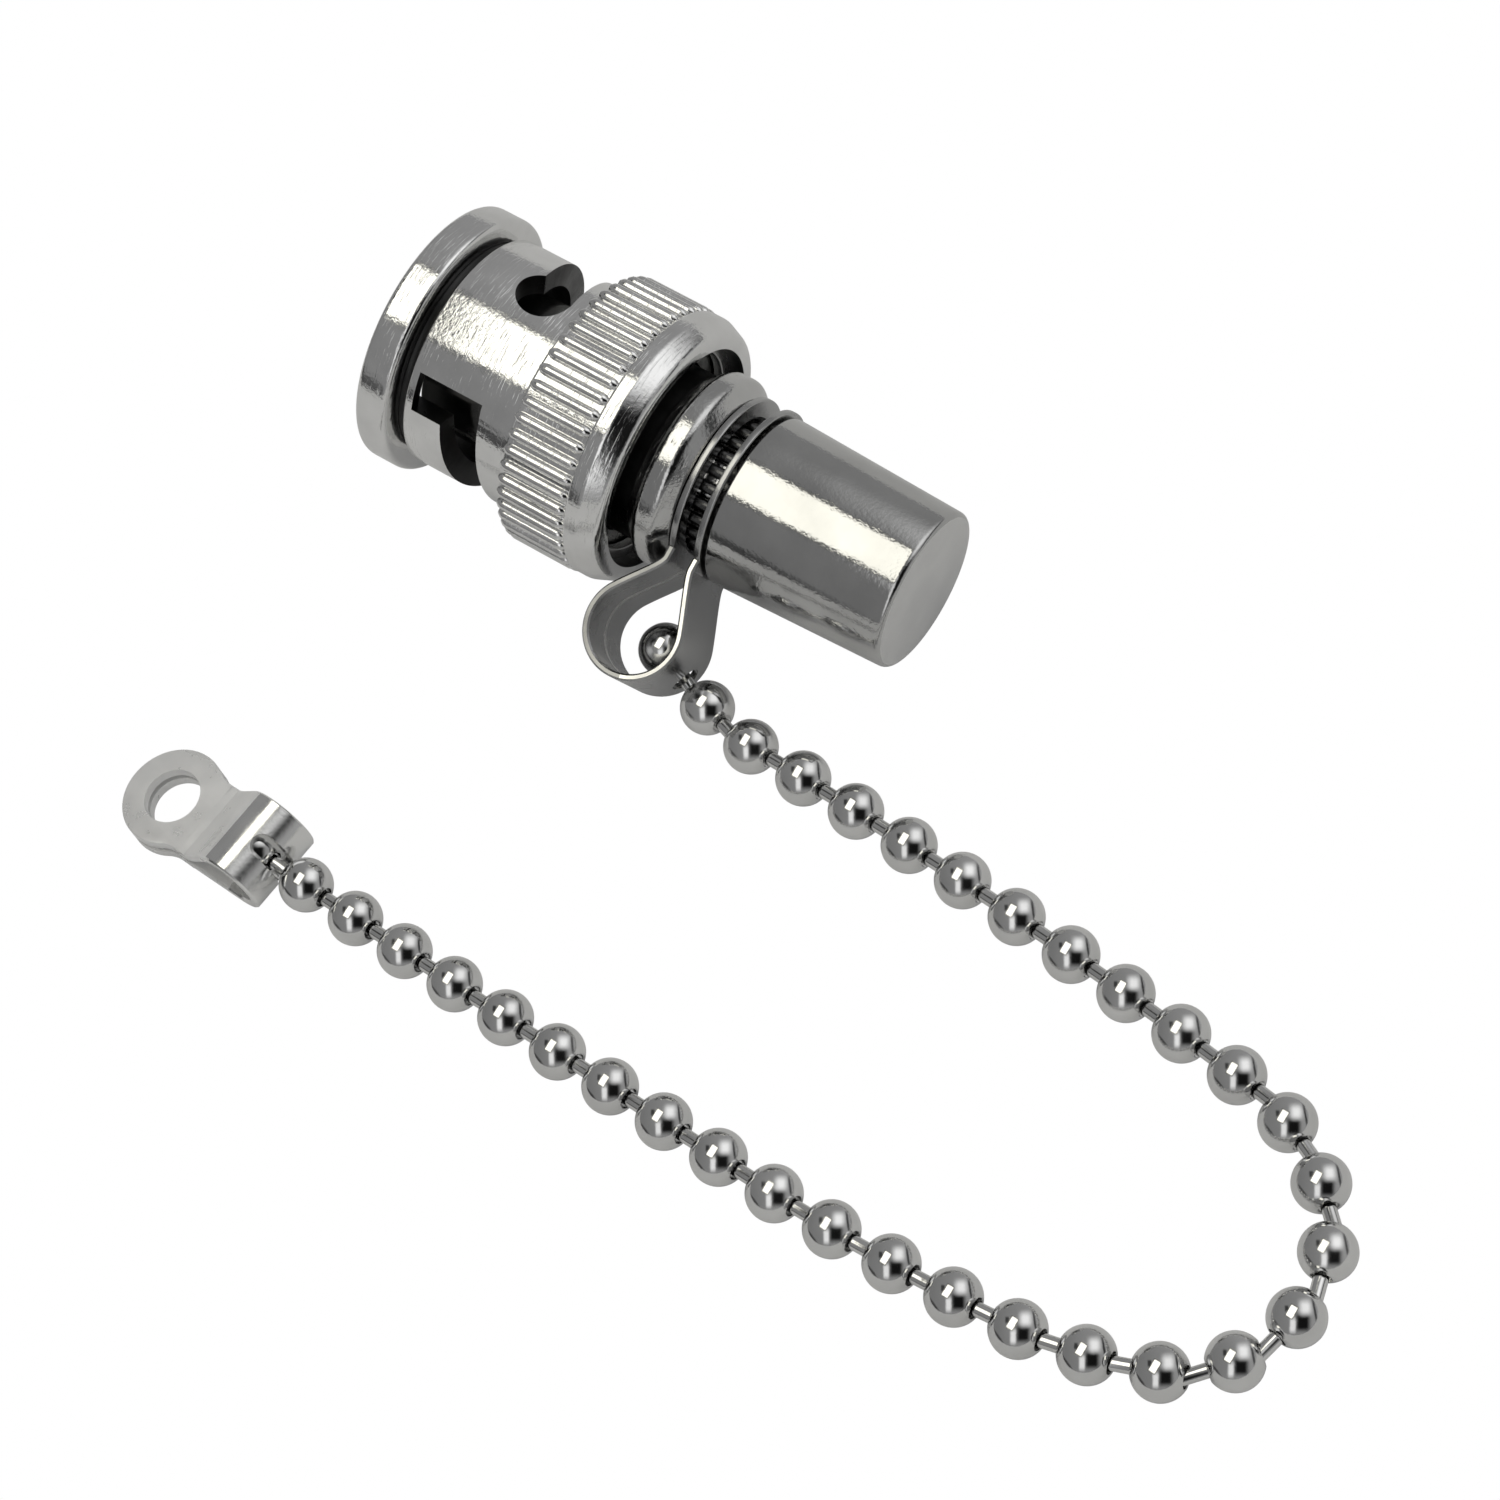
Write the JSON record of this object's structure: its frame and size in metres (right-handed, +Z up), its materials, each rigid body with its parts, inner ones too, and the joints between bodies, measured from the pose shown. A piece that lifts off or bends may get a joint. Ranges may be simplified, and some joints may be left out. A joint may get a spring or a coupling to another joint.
{
  "type": "coaxial terminator",
  "caption": "Plated bayonet coaxial terminator with a strap clip on its neck, a bead chain and a ring terminal.",
  "frame": {"origin": "centre of the coupling nut's mouth on the coupling axis", "axes": "+X the mating direction levelled with the table, +Z up from the table, +Y across to the chain's side; the coupling axis rises 11 degrees from +X"},
  "size_m": [0.0681, 0.0378, 0.0163],
  "materials": {
    "nickel_plate": "polished",
    "strip_plate": "polished",
    "bead_plate": "polished",
    "spring_steel": "satin",
    "sleeve_plate": "polished",
    "pin_gold": "polished",
    "disc_brass": "satin",
    "insulator": "matte",
    "silicone": "matte",
    "resistor_body": "satin"
  },
  "bodies": {
    "plug": {"plug_body": "nickel_plate", "contact_sleeve": "sleeve_plate", "front_insulator": "insulator", "rear_insulator": "insulator", "center_pin": "pin_gold", "gasket": "silicone", "load_resistor": "resistor_body", "earth_disc": "disc_brass", "end_cap": "nickel_plate", "wave_spring": "spring_steel"},
    "washer": {"thrust_washer": "spring_steel"},
    "nut": {"coupling_nut": "nickel_plate", "snap_ring": "spring_steel"},
    "clip": {"chain_clip": "strip_plate"},
    "link_00": {"bead_00": "bead_plate"},
    "link_01": {"bead_01": "bead_plate"},
    "link_02": {"bead_02": "bead_plate"},
    "link_03": {"bead_03": "bead_plate"},
    "link_04": {"bead_04": "bead_plate"},
    "link_05": {"bead_05": "bead_plate"},
    "link_06": {"bead_06": "bead_plate"},
    "link_07": {"bead_07": "bead_plate"},
    "link_08": {"bead_08": "bead_plate"},
    "link_09": {"bead_09": "bead_plate"},
    "link_10": {"bead_10": "bead_plate"},
    "link_11": {"bead_11": "bead_plate"},
    "link_12": {"bead_12": "bead_plate"},
    "link_13": {"bead_13": "bead_plate"},
    "link_14": {"bead_14": "bead_plate"},
    "link_15": {"bead_15": "bead_plate"},
    "link_16": {"bead_16": "bead_plate"},
    "link_17": {"bead_17": "bead_plate"},
    "link_18": {"bead_18": "bead_plate"},
    "link_19": {"bead_19": "bead_plate"},
    "link_20": {"bead_20": "bead_plate"},
    "link_21": {"bead_21": "bead_plate"},
    "link_22": {"bead_22": "bead_plate"},
    "link_23": {"bead_23": "bead_plate"},
    "link_24": {"bead_24": "bead_plate"},
    "link_25": {"bead_25": "bead_plate"},
    "link_26": {"bead_26": "bead_plate"},
    "link_27": {"bead_27": "bead_plate"},
    "link_28": {"bead_28": "bead_plate"},
    "link_29": {"bead_29": "bead_plate"},
    "link_30": {"bead_30": "bead_plate"},
    "link_31": {"bead_31": "bead_plate"},
    "link_32": {"bead_32": "bead_plate"},
    "link_33": {"bead_33": "bead_plate"},
    "terminal": {"ring_terminal": "strip_plate"}
  },
  "joints": [
    {"name": "washer_slide", "type": "slide", "parent": "plug", "child": "washer", "axis": [0.9816, 0, 0.1908], "range_m": [0, 0.0007], "deforming": ["wave_spring"]},
    {"name": "nut_spin", "type": "hinge", "parent": "washer", "child": "nut", "pos_m": [0, 0, 0], "axis": [0.9816, 0, 0.1908], "continuous": true},
    {"name": "clip_turn", "type": "hinge", "parent": "plug", "child": "clip", "pos_m": [-0.01777, 0, -0.00345], "axis": [0.9816, 0, 0.1908], "continuous": true},
    {"name": "link_00_hinge", "type": "hinge", "parent": "clip", "child": "link_00", "pos_m": [-0.0187, 0.00831, -0.00791], "axis": [-0.4446, -0.8957, 0], "range_deg": [-12, 12]},
    {"name": "link_01_hinge", "type": "hinge", "parent": "link_00", "child": "link_01", "pos_m": [-0.0195, 0.00871, -0.00818], "axis": [-0.4446, -0.8957, 0], "range_deg": [-10, 10]},
    {"name": "link_02_hinge", "type": "hinge", "parent": "link_01", "child": "link_02", "pos_m": [-0.02268, 0.00985, -0.00818], "axis": [0.3387, 0.9409, 0], "range_deg": [-24, 24]},
    {"name": "link_03_hinge", "type": "hinge", "parent": "link_02", "child": "link_03", "pos_m": [-0.02605, 0.01017, -0.00818], "axis": [-0.0941, -0.9956, 0], "range_deg": [-30, 30]},
    {"name": "link_04_hinge", "type": "hinge", "parent": "link_03", "child": "link_04", "pos_m": [-0.02941, 0.01052, -0.00818], "axis": [0.1049, 0.9945, 0], "range_deg": [-30, 30]},
    {"name": "link_05_hinge", "type": "hinge", "parent": "link_04", "child": "link_05", "pos_m": [-0.03277, 0.01091, -0.00818], "axis": [-0.1157, -0.9933, 0], "range_deg": [-30, 30]},
    {"name": "link_06_hinge", "type": "hinge", "parent": "link_05", "child": "link_06", "pos_m": [-0.03612, 0.01134, -0.00818], "axis": [0.1265, 0.992, 0], "range_deg": [-30, 30]},
    {"name": "link_07_hinge", "type": "hinge", "parent": "link_06", "child": "link_07", "pos_m": [-0.03947, 0.01181, -0.00818], "axis": [-0.1373, -0.9905, 0], "range_deg": [-30, 30]},
    {"name": "link_08_hinge", "type": "hinge", "parent": "link_07", "child": "link_08", "pos_m": [-0.04281, 0.01231, -0.00818], "axis": [0.148, 0.989, 0], "range_deg": [-30, 30]},
    {"name": "link_09_hinge", "type": "hinge", "parent": "link_08", "child": "link_09", "pos_m": [-0.04614, 0.01284, -0.00818], "axis": [-0.1587, -0.9873, 0], "range_deg": [-30, 30]},
    {"name": "link_10_hinge", "type": "hinge", "parent": "link_09", "child": "link_10", "pos_m": [-0.04948, 0.01342, -0.00818], "axis": [0.1694, 0.9855, 0], "range_deg": [-30, 30]},
    {"name": "link_11_hinge", "type": "hinge", "parent": "link_10", "child": "link_11", "pos_m": [-0.0528, 0.01402, -0.00818], "axis": [-0.1801, -0.9836, 0], "range_deg": [-30, 30]},
    {"name": "link_12_hinge", "type": "hinge", "parent": "link_11", "child": "link_12", "pos_m": [-0.05612, 0.01467, -0.00818], "axis": [0.1908, 0.9816, 0], "range_deg": [-24, 24]},
    {"name": "link_13_hinge", "type": "hinge", "parent": "link_12", "child": "link_13", "pos_m": [-0.05911, 0.01624, -0.00818], "axis": [-0.4648, -0.8854, 0], "range_deg": [-24, 24]},
    {"name": "link_14_hinge", "type": "hinge", "parent": "link_13", "child": "link_14", "pos_m": [-0.06153, 0.01861, -0.00818], "axis": [0.6997, 0.7145, 0], "range_deg": [-10, 10]},
    {"name": "link_15_hinge", "type": "hinge", "parent": "link_14", "child": "link_15", "pos_m": [-0.06246, 0.02185, -0.00818], "axis": [-0.9614, -0.2752, 0], "range_deg": [-10, 10]},
    {"name": "link_16_hinge", "type": "hinge", "parent": "link_15", "child": "link_16", "pos_m": [-0.06166, 0.02514, -0.00818], "axis": [0.9718, -0.236, 0], "range_deg": [-10, 10]},
    {"name": "link_17_hinge", "type": "hinge", "parent": "link_16", "child": "link_17", "pos_m": [-0.05934, 0.0276, -0.00818], "axis": [-0.7281, 0.6855, 0], "range_deg": [-10, 10]},
    {"name": "link_18_hinge", "type": "hinge", "parent": "link_17", "child": "link_18", "pos_m": [-0.05611, 0.02859, -0.00818], "axis": [0.294, -0.9558, 0], "range_deg": [-24, 24]},
    {"name": "link_19_hinge", "type": "hinge", "parent": "link_18", "child": "link_19", "pos_m": [-0.05278, 0.02916, -0.00818], "axis": [-0.1668, 0.986, 0], "range_deg": [-24, 24]},
    {"name": "link_20_hinge", "type": "hinge", "parent": "link_19", "child": "link_20", "pos_m": [-0.0494, 0.02928, -0.00818], "axis": [0.0366, -0.9993, 0], "range_deg": [-30, 30]},
    {"name": "link_21_hinge", "type": "hinge", "parent": "link_20", "child": "link_21", "pos_m": [-0.04602, 0.02931, -0.00818], "axis": [-0.007, 1, 0], "range_deg": [-30, 30]},
    {"name": "link_22_hinge", "type": "hinge", "parent": "link_21", "child": "link_22", "pos_m": [-0.04264, 0.02923, -0.00818], "axis": [-0.0227, -0.9997, 0], "range_deg": [-30, 30]},
    {"name": "link_23_hinge", "type": "hinge", "parent": "link_22", "child": "link_23", "pos_m": [-0.03927, 0.02905, -0.00818], "axis": [0.0523, 0.9986, 0], "range_deg": [-30, 30]},
    {"name": "link_24_hinge", "type": "hinge", "parent": "link_23", "child": "link_24", "pos_m": [-0.0359, 0.02877, -0.00818], "axis": [-0.0819, -0.9966, 0], "range_deg": [-30, 30]},
    {"name": "link_25_hinge", "type": "hinge", "parent": "link_24", "child": "link_25", "pos_m": [-0.03253, 0.02849, -0.00818], "axis": [0.083, 0.9966, 0], "range_deg": [-30, 30]},
    {"name": "link_26_hinge", "type": "hinge", "parent": "link_25", "child": "link_26", "pos_m": [-0.02916, 0.02821, -0.00818], "axis": [-0.084, -0.9965, 0], "range_deg": [-30, 30]},
    {"name": "link_27_hinge", "type": "hinge", "parent": "link_26", "child": "link_27", "pos_m": [-0.02579, 0.02792, -0.00818], "axis": [0.0851, 0.9964, 0], "range_deg": [-30, 30]},
    {"name": "link_28_hinge", "type": "hinge", "parent": "link_27", "child": "link_28", "pos_m": [-0.02243, 0.02763, -0.00818], "axis": [-0.0861, -0.9963, 0], "range_deg": [-30, 30]},
    {"name": "link_29_hinge", "type": "hinge", "parent": "link_28", "child": "link_29", "pos_m": [-0.01906, 0.02734, -0.00818], "axis": [0.0872, 0.9962, 0], "range_deg": [-30, 30]},
    {"name": "link_30_hinge", "type": "hinge", "parent": "link_29", "child": "link_30", "pos_m": [-0.01569, 0.02704, -0.00818], "axis": [-0.0882, -0.9961, 0], "range_deg": [-30, 30]},
    {"name": "link_31_hinge", "type": "hinge", "parent": "link_30", "child": "link_31", "pos_m": [-0.01233, 0.02674, -0.00818], "axis": [0.0892, 0.996, 0], "range_deg": [-30, 30]},
    {"name": "link_32_hinge", "type": "hinge", "parent": "link_31", "child": "link_32", "pos_m": [-0.00896, 0.02643, -0.00818], "axis": [-0.0903, -0.9959, 0], "range_deg": [-24, 24]},
    {"name": "link_33_hinge", "type": "hinge", "parent": "link_32", "child": "link_33", "pos_m": [-0.00562, 0.02613, -0.00773], "axis": [0.0913, 0.9958, 0], "range_deg": [-30, 30]},
    {"name": "terminal_hinge", "type": "hinge", "parent": "link_33", "child": "terminal", "pos_m": [-0.00449, 0.02602, -0.00757], "axis": [0.0924, 0.9957, 0], "range_deg": [-12, 12]}
  ]
}
